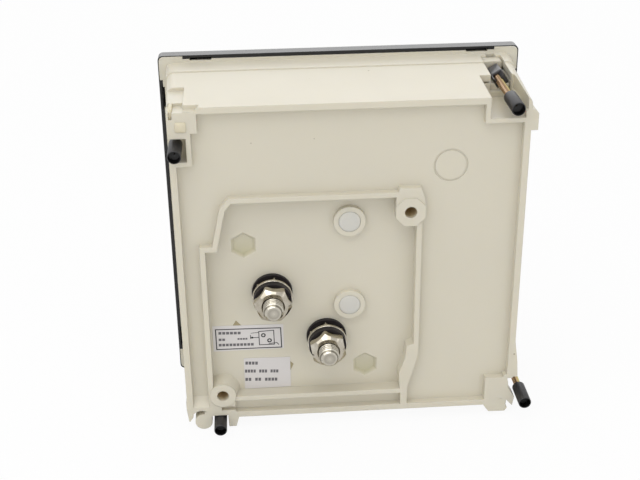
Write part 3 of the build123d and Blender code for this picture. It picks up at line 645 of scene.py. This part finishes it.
@dataclass
class Housing:
    """The cream rear moulding with its plugs, pads and rod collar, sizes in mm.

    The plug's profile has radius and height above the floor. Each pad has its centre, half sizes and ends.
    The collar's rim has half its side and the height at each row.
    """

    book: FinishBook
    floor: float = 42.5
    plugs: Tuple[Point, ...] = ((0.2, 17.8), (0.2, -18.5))
    plug_profile: Tuple[Point, ...] = ((0.01, 0.75), (4.24, 0.75), (4.24, 2.0), (4.1, 2.25), (3.7, 2.4),
                                       (3.0, 2.47), (1.5, 2.5), (0.01, 2.5))
    pads: Tuple[Tuple[Point, Point, Point], ...] = (((61.9, 59.5), (2.1, 2.0), (46.2, 48.5)),
                                                    ((65.4, 64.1), (0.75, 2.0), (36.0, 46.9)))
    collar_place: Point = (-60.1, 64.3)
    collar_rim: Tuple[Point, ...] = ((3.9, 3.2), (3.9, 7.2), (3.6, 7.6))
    collar_bore: float = 1.75

    def build(self) -> None:
        """Dresses the housing and makes the domed plugs, the corner's pads and the collar."""
        dress(self.book, "cream_moulding", "rear_housing")
        dome = np.array(self.plug_profile) + (0.0, self.floor)
        discs = [lathe(at, dome, 40, ring=False) for at in self.plugs]
        piece = add_piece("plug_discs", discs, self.book.get("plug_grey"), "case")
        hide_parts("blanking_plugs")
        pads = [self.pad(*p) for p in self.pads]
        add_piece("corner_pads", pads, self.book.get("pad_cream"), "case")
        add_piece("rod_collar", [self.collar()], self.book.get("cream_moulding"), "case")

    def collar(self) -> Shape:
        """The square collar round the top right rod at the pocket's front end.

        The outside at an angle is a superellipse of power 8 and the inside is a circle clear of the rod.

        Returns:
            Points and quads.
        """
        angles = circle(48)
        half, y = np.array(self.collar_rim).T
        rad = np.concatenate([half[:, None] * superellipse(angles, 8), np.full((2, len(angles)), self.collar_bore)])
        return skin(turned(self.collar_place, rad, np.append(y, (y[-1], y[0])), angles), True)

    def pad(self, at: Point, half: Point, ends: Point) -> Shape:
        """A small moulded pad with rounded corners and rim.

        The section at an angle is a superellipse of power 6 with its own half sizes, drawn in over the
        last half millimetre.

        Args:
            at: its centre's X and Z in mm.
            half: half its size along X and Z in mm.
            ends: its lower and upper end in mm.

        Returns:
            Points and quads.
        """
        angles = circle(40)
        y0, y1 = ends
        inset = np.array([0.99, 0.0, 0.0, 0.06, 0.22, 0.99])
        y = (y0, y0, y1 - 0.5, y1 - 0.2, y1, y1)
        rows = turned((0.0, 0.0), (1 - inset)[:, None] * superellipse(angles, 6), y, angles)
        return skin(rows * (half[0], 1.0, half[1]) + (at[0], 0.0, at[1]), False)


@dataclass
class Terminals:
    """The two studs with their washers and nuts, sizes in mm.

    The turns are the angles in degrees of the thin and the full nut on each stud. The levels are the
    floor and the upper ends of the base washer, thin nut, bright washer, black washer and full nut.
    """

    book: FinishBook
    studs: Tuple[Point, ...] = ((30.7, -12.0), (9.5, -33.2))
    turns: Tuple[Tuple[float, float], ...] = ((38.0, 8.0), (27.0, 20.0))
    levels: Tuple[float, ...] = (42.5, 44.1, 47.5, 48.8, 51.0, 55.8)
    washer_r: Tuple[float, float, float] = (8.0, 7.9, 7.4)
    radius: float = 4.0
    pitch: float = 1.25
    thread: float = 0.42
    neck: float = 37.6
    tip: float = 61.0
    across: float = 13.0
    head_y: Tuple[float, float, float] = (33.0, 36.0, 37.7)
    head_half: float = 5.5
    head_r: float = 6.15
    cavity_shades: List[np.ndarray] = field(default_factory=list)

    def stud(self, at: Point) -> Shape:
        """A threaded stud.

        The radius at angle a and height y is the stud's radius less the thread's depth times a rounded
        triangle wave of y / pitch - a / (2 pi), and never more than the cone of the chamfered tip. The
        wave is also the cavity_shade mark below the cone, painted shade in the thread's roots, and the
        same mark draws a faint ring on the tip's face.

        Args:
            at: the axis's X and Z in mm.

        Returns:
            Points and quads.
        """
        tip_r, tip_slope, plain_r, face_mark = 2.8, 0.9, 3.0, 0.35
        angles = circle(48)
        y = np.linspace(self.neck, self.tip, 190)
        phase = (y[:, None] / self.pitch - angles / (2 * np.pi)) % 1.0
        wave = np.clip(np.abs(phase - 0.5) * 2.6 - 0.3, 0, 1)
        rad = np.minimum(self.radius - self.thread * wave, (tip_r + (self.tip - y) * tip_slope)[:, None])
        foot = turned(at, [0.01], [self.neck], angles)
        face = turned(at, [2.0, 1.85, 0.01], self.tip - np.array([0.0, 0.05, 0.05]), angles)
        ring = np.zeros((4, len(angles)))
        ring[1:3] = face_mark
        # Painted shade in the thread's roots, and a faint ring on the tip's face.
        self.cavity_shades.append(np.concatenate([ring[:1], wave * (rad > plain_r), ring[1:]]).ravel())
        return skin(np.concatenate([foot, turned(at, rad, y, angles), face]), False)

    def hex_nut(self, at: Point, y0: float, y1: float, turn: float, face: float = 6.3, slope: float = 30.0) -> Shape:
        """A chamfered hexagon nut.

        The radius at an angle is the hexagon's. At the upper end a cone from the face's radius cuts it, so
        the flat ends where the cone reaches the hexagon's radius, and at the lower end a 30 degree cone
        does the same.

        Args:
            at: the axis's X and Z in mm.
            y0: the lower end in mm.
            y1: the upper end in mm.
            turn: the angle of one corner in degrees.
            face: the radius of the upper end's flat face in mm.
            slope: the upper cone's slope in degrees.

        Returns:
            Points and quads.
        """
        start = math.radians(turn)
        angles = circle(96, start)
        half = self.across / 2
        outline = hexagon(angles - start, half)
        foot, bore, mouth = half - 0.2, self.radius + 0.02, self.radius + 0.5
        rise = (outline - foot) * math.tan(math.radians(30))
        drop = (outline - face) * math.tan(math.radians(slope))
        flat = np.ones(len(angles))
        rad = np.stack([flat * bore, flat * foot, outline, outline, flat * face, flat * mouth, flat * bore])
        y = np.stack([flat * y0, flat * y0, y0 + rise, y1 - drop, flat * y1, flat * y1, flat * (y1 - 0.5)])
        return skin(turned(at, rad, y, angles), True)

    def washer(self, at: Point, r: float, y0: float, y1: float) -> Shape:
        """A flat washer from y0 to y1 with rounded rims, its section swept round the stud."""
        rim, bore = 0.12, self.radius + 0.03
        return lathe(at, [(bore, y0), (r - rim, y0), (r, y0 + rim), (r, y1 - rim), (r - rim, y1),
                          (bore + rim, y1), (bore, y1 - rim)], 64)

    def head(self, at: Point) -> Shape:
        """The head of a stud inside the case, a hexagon cut by the circle that rounds its corners, and its neck."""
        angles = circle(48)
        outline = np.minimum(hexagon(angles, self.head_half), self.head_r)
        flat = np.ones(len(angles))
        low, high, end = self.head_y
        rad = np.stack([flat * 0.01, outline, outline, flat * self.radius, flat * self.radius])
        return skin(turned(at, rad, (low, low, high, high, end), angles), False)

    def build(self) -> None:
        """Makes every terminal piece and puts it in place of its CAD node."""
        looks = (("threaded_studs", "stud_nickel", "nickel", "terminal_studs"),
                 ("lower_washers", "washer_black", "black_oxide", "base_washers"),
                 ("thin_nuts", "nickel_plate", "nickel", "lower_nuts"),
                 ("bright_washers", "nickel_plate", "nickel", ""),
                 ("upper_washers", "washer_black", "black_oxide", "top_washers"),
                 ("full_nuts", "nickel_plate", "nickel", "top_nuts"))
        floor, base, thin, bright, black, top = self.levels
        base_r, bright_r, black_r = self.washer_r
        stacks = [(self.stud(at), self.washer(at, base_r, floor, base), self.hex_nut(at, base, thin, low),
                   self.washer(at, bright_r, thin, bright), self.washer(at, black_r, bright, black),
                   self.hex_nut(at, black, top, high, face=5.75, slope=46.0))
                  for at, (low, high) in zip(self.studs, self.turns)]
        for (name, finish, slot, node), parts in zip(looks, zip(*stacks)):
            marks = {"cavity_shade": np.concatenate(self.cavity_shades)} if name == "threaded_studs" else None
            piece = add_piece(name, parts, self.book.get(finish), "case", crisp=24.0, marks=marks)
            if node:
                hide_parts(node)
        heads = [self.head(at) for at in self.studs]
        add_piece("stud_heads", heads, self.book.get("nickel_plate"), "case", smooth=False)


@dataclass
class CornerClamp:
    """One screw clamp: sleeve, threaded rod and tubular cap, sizes in mm and the turn in degrees.

    The side named by out is the one on which the sleeve is cut back, and the shift moves the sleeve's
    outside against its bore.
    """

    book: FinishBook
    name: str
    at: Point
    rod_r: float = 1.45
    rod_y: Point = (5.0, 50.0)
    pitch: float = 0.5
    thread: float = 0.14
    sleeve_y: Point = (9.0, 22.0)
    sleeve_half: float = 2.1
    sleeve_turn: float = 14.0
    sleeve_cut: float = 4.5
    cap_y: Point = (40.4, 54.5)
    cap_r: float = 2.6
    cap_floor: float = 50.25
    out: Point = (1.0, 0.0)
    shift: Point = (0.0, 0.0)
    marks: Dict[str, np.ndarray] = field(default_factory=dict)

    def rod(self) -> Shape:
        """A threaded rod with chamfered ends and a driver slot.

        The radius is the rod's less a triangle wave of y / pitch - a / (2 pi), under the cones of the ends,
        and the rows of the slotted end drop where the point lies inside the slot. The marks are painted
        shade in the thread's roots by the wave's depth, and two bands of angle in the plating's colours:
        a painted sheen on the +X side and a painted dark reflection streak along the top.

        Returns:
            Points and quads.
        """
        chamfer, slot_half, slot_depth = 0.45, 0.34, 1.0
        y0, y1 = self.rod_y
        angles = circle(20)
        y = np.linspace(y0, y1, 361)
        depth = np.abs((y[:, None] / self.pitch - angles / (2 * np.pi)) % 1.0 - 0.5) * 2
        cone = self.rod_r - chamfer + np.minimum(y - y0, y1 - y)
        rad = np.minimum(self.rod_r - self.thread * depth, cone[:, None])
        ends = turned(self.at, [0.01, 0.01], [y0, y1], angles)
        rows = np.concatenate([ends[:1], turned(self.at, rad, y, angles), ends[1:]])
        inside = (np.abs(rows[..., 2] - self.at[1]) < slot_half) & (rows[..., 1] > y1 - 0.05)
        rows[..., 1] = np.where(inside, y1 - slot_depth, rows[..., 1])
        depth = np.pad(depth, ((1, 1), (0, 0)))
        # Painted sheen: the round band, orange-tan on the +X side, stands in for light off the plating.
        side = np.clip(0.5 + 1.4 * np.cos(angles - 0.2), 0, 1)
        # Painted reflection: a dark streak along the top of the rod.
        crown_reflection = np.clip(1.0 - np.abs(angles - 1.35) / 0.5, 0, 1)
        flat = np.ones_like(depth)
        # The cavity_shade mark is painted shade in the thread's roots, by the wave's depth.
        self.marks = {"cavity_shade": depth * 0.6, "round": flat * side, "crown_reflection": flat * crown_reflection}
        return skin(rows, False)

    def sleeve(self) -> Shape:
        """A square sleeve with rounded corners and ends, cut back on its outward side.

        The section at an angle is a superellipse of power 14 with the half width as its size, turned by the
        sleeve's own angle and drawn in a little at both ends, and the bore follows the rod. Where the
        angle lies within 42 degrees of the outward face, the height shrinks so the side ends early.

        Returns:
            Points and quads.
        """
        lid_cosine = 0.74
        y0, y1 = self.sleeve_y
        angles = circle(64)
        form = superellipse(angles - math.radians(self.sleeve_turn + 45.0), 14)
        y = (y0, y0 + 0.12, y0 + 0.35, y0 + 1.2, y1 - 1.2, y1 - 0.35, y1 - 0.12, y1)
        inset = np.array([0.3, 0.12, 0.02, 0.0, 0.0, 0.02, 0.12, 0.3])
        rad = (self.sleeve_half - inset)[:, None] * form
        outer = turned(np.add(self.at, self.shift), rad, y, angles)
        bore = turned(self.at, [1.7, 1.5, 1.5, 1.7], [y1, y1 - 0.4, y0 + 0.4, y0], angles)
        rows = np.concatenate([outer, bore])
        away = math.atan2(self.out[1], self.out[0])
        lid = np.cos(angles - away - math.radians(self.sleeve_turn - 45.0)) > lid_cosine
        short = y0 + (rows[..., 1] - y0) * (y1 - y0 - self.sleeve_cut) / (y1 - y0)
        rows[..., 1] = np.where(lid, short, rows[..., 1])
        return skin(rows, True)

    def cap(self) -> Shape:
        """The tubular cap, its rounded wall section with a floor above the rod's end swept round the rod.

        The cavity_shade mark, painted shade, makes the inside near black from the ninth point of the section on.

        Returns:
            Points and quads.
        """
        y0, y1 = self.cap_y
        r, floor, steps = self.cap_r, self.cap_floor, 40
        prof = [(1.5, y0), (2.05, y0), (2.3, y0 + 0.15), (r, y0 + 0.45), (r, y1 - 0.3), (r - 0.1, y1 - 0.08),
                (r - 0.2, y1), (r - 0.3, y1), (r - 0.36, y1 - 0.12), (r - 0.4, floor + 0.55), (0.3, floor + 0.35),
                (0.3, floor), (1.5, floor)]
        # Painted shade: near black over the cap's inside.
        self.marks = {"cavity_shade": np.repeat(np.arange(len(prof)) >= 8, steps)}
        return lathe(self.at, prof, steps)

    def build(self) -> None:
        """Makes the clamp's three pieces in place of their CAD nodes."""
        n = self.name
        looks = (("rod", self.rod, "yellow_zinc", "clamp_rod_" + n, "yellow_zinc"),
                 ("sleeve", self.sleeve, "sleeve_black", "case", "black_plastic"),
                 ("cap", self.cap, "clamp_black", "clamp_cap_" + n, "black_plastic"))
        for kind, make, finish, body, slot in looks:
            self.marks = {}
            parts = [make()]
            piece = add_piece("clamp_" + kind + "_" + n, parts, self.book.get(finish), body, marks=self.marks)
            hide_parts(kind + "_" + n)


@dataclass
class Stickers:
    """The two white stickers in the terminal compartment and their plain print, sizes in mm."""

    book: FinishBook
    face: float = 42.65
    lift: float = 0.03
    sunk: float = 0.13

    def blocks(self, start: Point, end: Point, groups: Sequence[int], height: float) -> List[Shape]:
        """A row of plain blocks that stands for a printed line.

        The row's length is shared out as one step a block and one a gap between groups, and each block
        fills 0.78 of its step.

        Args:
            start: X and Z of the row's first end in mm.
            end: X and Z of its other end.
            groups: the number of blocks in each group.
            height: the blocks' height in mm.

        Returns:
            Points and quads of each block.
        """
        fill = 0.78
        a, b = np.array(start), np.array(end)
        steps = sum(groups) + len(groups) - 1
        first = np.concatenate([np.arange(n) + sum(groups[:i]) + i for i, n in enumerate(groups)])[:, None]
        near = a + (b - a) * (first / steps)
        far = a + (b - a) * ((first + fill) / steps)
        return [flat_strip(np.stack([p, q]), height, self.face + self.lift) for p, q in zip(near, far)]

    def drawing(self) -> List[Shape]:
        """The frame and the sketch of the two terminals, as flat lines."""
        turn = circle(24)
        ring = np.stack([np.cos(turn), np.sin(turn)], axis=1) * 0.7
        lines = (([(53.8, -28.3), (27.8, -28.7), (27.6, -37.7), (53.7, -37.5)], 0.42, True),
                 ([(36.6, -30.0), (30.6, -29.7), (30.5, -36.2), (36.5, -36.2)], 0.34, True),
                 (ring + [34.8, -31.8], 0.5, True), (ring + [32.4, -34.3], 0.5, True),
                 ([(39.8, -30.6), (36.6, -30.4)], 0.24, False), ([(40.0, -32.7), (36.6, -32.7)], 0.3, False),
                 ([(40.0, -31.4), (40.0, -33.3)], 0.26, False), ([(39.7, -32.7), (38.9, -32.7)], 0.8, False),
                 ([(32.8, -35.8), (29.4, -35.5), (28.7, -36.5)], 0.3, False))
        return [flat_strip(p, width, self.face + self.lift, closed) for p, width, closed in lines]

    def build(self) -> None:
        """Dresses the stickers, draws their plain print and paints shade, as flat brown pieces, into the hollows at
        their corners.
        """
        dress(self.book, "sticker_paper", "sticker_wide", "sticker_tall")
        rows = (((52.7, -30.0), (43.5, -30.3), (6,), 1.2), ((52.7, -33.0), (49.9, -33.1), (2,), 1.1),
                ((45.2, -33.0), (41.0, -33.1), (4,), 0.8), ((52.8, -35.5), (38.5, -35.8), (10,), 1.2),
                ((42.5, -44.5), (37.2, -44.8), (4,), 1.45), ((42.8, -48.3), (29.0, -49.0), (4, 3, 3), 1.45),
                ((42.8, -52.3), (29.5, -52.9), (2, 2, 4), 1.45))
        words = [part for row in rows for part in self.blocks(*row)]
        # Painted shade: flat brown pieces that stand for the shaded hollows at the stickers' corners.
        hollows = (((46.9, -26.9), (45.5, -24.5), (43.3, -27.0), (45.2, -27.2)),
                   ((24.5, -44.4), (22.9, -46.0), (24.4, -49.2), (24.9, -47.0)))
        y = self.face - self.sunk
        corners = [(np.insert(np.array(h), 1, y, axis=1), np.arange(4)[None, :]) for h in hollows]
        for name, parts, finish in (("sticker_print", self.drawing(), "print_black"),
                                    ("sticker_rows", words, "print_soft"),
                                    ("painted_hollow_shade", corners, "hollow_shade_brown")):
            add_print(name, parts, self.book.get(finish), 1.0)


@dataclass
class Dial:
    """The dial plate with its printed quadrant scale, sizes in mm.

    Each kind of tick has the count it falls on, its length and its width.
    """

    book: FinishBook
    pivot: Point = (42.0, -42.0)
    face: float = 3.97
    inner: float = 84.5
    arc_width: float = 0.45
    steps: int = 50
    kinds: Tuple[Tuple[int, float, float], ...] = ((10, 7.5, 0.9), (5, 5.2, 0.55), (1, 3.2, 0.35))
    digit_size: float = 7.5
    digit_inset: float = 8.0
    zero_rise: float = 2.5

    def ticks(self) -> List[Shape]:
        """The tick marks as flat strips on rays from the pivot, longest at every tenth step."""
        out = []
        for i in range(self.steps + 1):
            a = math.radians(180 - 90 * i / self.steps)
            length, width = next((long, wide) for every, long, wide in self.kinds if i % every == 0)
            ray = np.array([math.cos(a), math.sin(a)])
            line = np.stack([ray * self.inner, ray * (self.inner + length)]) + np.array(self.pivot)
            out.append(flat_strip(line, width, self.face))
        return out

    def number(self, text: str, x: float, z: float) -> None:
        """Prints one number as a flat mesh.

        Args:
            text: the digits.
            x: centre X in mm.
            z: centre Z in mm.
        """
        curve = bpy.data.curves.new("digits_" + text, "FONT")
        curve.body = text
        curve.size = self.digit_size * MM
        curve.align_x = "CENTER"
        curve.align_y = "CENTER"
        holder = bpy.data.objects.new("digits_" + text, curve)
        mesh = bpy.data.meshes.new_from_object(holder)
        bpy.data.objects.remove(holder)
        co = np.empty(len(mesh.vertices) * 3)
        mesh.vertices.foreach_get("co", co)
        co = co.reshape(-1, 3)
        moved = np.stack([co[:, 0] + x * MM, np.full(len(co), self.face * MM), co[:, 1] + z * MM], axis=1)
        mesh.vertices.foreach_set("co", moved.ravel())
        mesh.update()
        mesh.materials.clear()
        mesh.materials.append(self.book.get("print_black"))
        obj = bpy.data.objects.new("dial_number_" + text, mesh)
        bpy.context.scene.collection.objects.link(obj)
        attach(obj, "case")
        face_towards(obj, -1.0)
        LOG.info("%s: %d faces on case", obj.name, len(mesh.polygons))

    def build(self) -> None:
        """Dresses the plate and prints arc, ticks and numbers."""
        dress(self.book, "dial_paint", "dial_plate")
        dress(self.book, "steel_satin", "dial_screws")
        arc = np.radians(np.linspace(180.0, 90.0, 91))
        line = np.stack([np.cos(arc), np.sin(arc)], axis=1) * self.inner + np.array(self.pivot)
        parts = self.ticks() + [flat_strip(line, self.arc_width, self.face)]
        add_print("dial_scale", parts, self.book.get("print_black"), -1.0)
        reach = self.inner - self.digit_inset
        for i in range(6):
            a = math.radians(180 - 18 * i)
            rise = 0 if i else self.zero_rise
            self.number(str(20 * i), self.pivot[0] + reach * math.cos(a), self.pivot[1] + reach * math.sin(a) + rise)


@dataclass
class Movement:
    """The moving-iron movement behind the dial, with the coil's sizes in mm."""

    book: FinishBook
    pivot: Point = (42.0, -42.0)
    coil_y: Point = (9.55, 24.45)
    coil_bore: float = 9.95
    coil_r: float = 15.75
    wire_bulge: float = 0.25
    coil_turns: int = 15

    def winding(self) -> Shape:
        """The coil's outer winding.

        The outer radius swells by a rectified sine of the height, once for each turn of wire.

        Returns:
            Points and quads.
        """
        low, high = self.coil_y
        y = np.linspace(low, high, 121)
        swell = self.coil_r + self.wire_bulge * np.abs(np.sin(np.pi * (y - low) / (high - low) * self.coil_turns))
        rad = np.concatenate([[self.coil_bore], swell, [self.coil_bore]])
        return skin(turned(self.pivot, rad, np.concatenate([[low], y, [high]]), circle(72)), True)

    def build(self) -> None:
        """Dresses the movement's CAD nodes and winds the coil."""
        dress(self.book, "steel_satin", "movement_base", "movement_screws", "bridge_screws", "spindle",
              "moving_iron", "fixed_iron")
        dress(self.book, "brass_satin", "pillars", "front_bridge", "front_bearing", "rear_bearing", "counterweights")
        dress(self.book, "aluminium_satin", "zero_lever", "damping_chamber", "damping_vane")
        dress(self.book, "pointer_black", "pointer")
        dress(self.book, "spring_bronze", "hairspring")
        dress(self.book, "former_white", "coil_former")
        dress(self.book, "copper_bare", "busbar_upper", "busbar_lower")
        piece = add_piece("wound_coil", [self.winding()], self.book.get("copper_enamel"), "case")
        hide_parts("coil_winding")


@dataclass
class Studio:
    """The floor, lamps and camera, in metres and watts.

    The camera has its focal length in pixels of the picture's width, its place and its three axes. Each
    lamp has its name, place, side and power, and points at the aim.
    """

    floor_z: float = -0.0722
    floor_half: float = 4.0
    floor_share: float = 0.93
    soft_light: float = 0.6
    lens_px: float = 1139.77
    width_px: float = 640.0
    sensor: float = 36.0
    place: Triple = (0.03741, 0.43815, 0.20212)
    right: Triple = (-0.99742583, 0.07079479, -0.01139362)
    up: Triple = (-0.04115845, -0.4351275, 0.89942762)
    back: Triple = (0.05871712, 0.89758128, 0.43692121)
    aim: Triple = (0.0, 0.02, 0.0)
    lamps: Tuple[Tuple[str, Triple, float, float], ...] = (
        ("key", (0.6, 0.55, 0.7), 0.9, 2.6),
        ("top", (0.1, 0.3, 0.95), 0.9, 3.6),
        ("fill", (-0.75, 0.8, 0.2), 0.9, 1.7),
        ("front", (0.15, 1.1, -0.2), 1.0, 3.2),
        ("sheen", (-0.05, -1.3, 0.68), 1.2, 4.6))

    def lamp(self, name: str, at: Triple, size: float, power: float) -> None:
        """Adds a square soft lamp that points at the meter.

        Args:
            name: the lamp's name.
            at: its place in metres.
            size: its side in metres.
            power: its power in watts.
        """
        data = bpy.data.lights.new(name, "AREA")
        data.shape = "SQUARE"
        data.size = size
        data.energy = power
        obj = bpy.data.objects.new(name, data)
        obj.location = at
        obj.rotation_euler = (Vector(self.aim) - Vector(at)).to_track_quat("-Z", "Y").to_euler()
        bpy.context.scene.collection.objects.link(obj)

    def seen(self, nodes: Nodes) -> Socket:
        """Returns 1 for a ray from the camera or off or through a glossy surface, and 0 for soft light."""
        path = nodes.add("LightPath").outputs
        gloss = nodes.op("MAXIMUM", path["Is Glossy Ray"], path["Is Transmission Ray"])
        return nodes.op("MAXIMUM", path["Is Camera Ray"], gloss)

    def floor(self) -> None:
        """Lays the pale floor, white to the camera apart from the meter's shadow."""
        mesh = bpy.data.meshes.new("floor")
        s, z = self.floor_half, self.floor_z
        mesh.from_pydata([(-s, -s, z), (s, -s, z), (s, s, z), (-s, s, z)], [], [(0, 1, 2, 3)])
        obj = bpy.data.objects.new("floor", mesh)
        bpy.context.scene.collection.objects.link(obj)
        mat = bpy.data.materials.new("floor_white")
        mat.use_nodes = True
        nodes = Nodes(mat.node_tree)
        shader = mat.node_tree.nodes["Principled BSDF"]
        nodes.feed(shader.inputs["Base Color"], (0.8, 0.8, 0.8))
        nodes.feed(shader.inputs["Roughness"], 0.9)
        glow, mixer = nodes.add("Emission"), nodes.add("MixShader")
        nodes.feed(glow.inputs["Strength"], 1.0)
        share = nodes.op("MULTIPLY", self.seen(nodes), self.floor_share)
        for slot, source in enumerate((share, shader.outputs[0], glow.outputs[0])):
            nodes.feed(mixer.inputs[slot], source)
        nodes.feed(mat.node_tree.nodes["Material Output"].inputs["Surface"], mixer.outputs[0])
        mesh.materials.append(mat)

    def world(self) -> None:
        """Sets the white surroundings and their even light."""
        world = bpy.data.worlds.new("surroundings")
        bpy.context.scene.world = world
        world.use_nodes = True
        nodes = Nodes(world.node_tree)
        back, level = world.node_tree.nodes["Background"].inputs, nodes.add("MapRange")
        nodes.feed(back["Color"], (1.0, 1.0, 1.0))
        nodes.feed(level.inputs["To Min"], self.soft_light)
        nodes.feed(level.inputs["To Max"], 1.0)
        nodes.feed(level.inputs["Value"], self.seen(nodes))
        nodes.feed(back["Strength"], level.outputs["Result"])

    def camera(self) -> None:
        """Places the camera at the photograph's viewing angle."""
        data = bpy.data.cameras.new("camera")
        data.sensor_width = self.sensor
        data.lens = self.lens_px * self.sensor / self.width_px
        data.clip_start = 0.01
        obj = bpy.data.objects.new("camera", data)
        rows = Matrix((self.right, self.up, self.back)).transposed()
        obj.matrix_world = Matrix.Translation(self.place) @ rows.to_4x4()
        bpy.context.scene.collection.objects.link(obj)
        bpy.context.scene.camera = obj

    def build(self) -> None:
        """Builds the studio."""
        self.floor()
        self.world()
        self.camera()
        for lamp in self.lamps:
            self.lamp(*lamp)
        bpy.context.scene.view_settings.view_transform = "Standard"


def main() -> None:
    """Builds the meter's pieces in order, then the studio."""
    logging.basicConfig(level=logging.INFO)
    book = FinishBook()
    FrontFrame(book).build()
    Housing(book).build()
    Terminals(book).build()
    for clamp in (CornerClamp(book, "top_left", (64.5, 50.5)),
                  CornerClamp(book, "top_right", (-60.1, 64.3), out=(0.0, 1.0), sleeve_half=2.3,
                              shift=(-0.45, 0.45)),
                  CornerClamp(book, "bottom_left", (53.6, -68.6), out=(0.0, -1.0)),
                  CornerClamp(book, "bottom_right", (-70.9, -62.6), out=(-1.0, 0.0), cap_y=(42.0, 54.5))):
        clamp.build()
    Stickers(book).build()
    Dial(book).build()
    Movement(book).build()
    Studio().build()


if __name__ == "__main__":
    main()
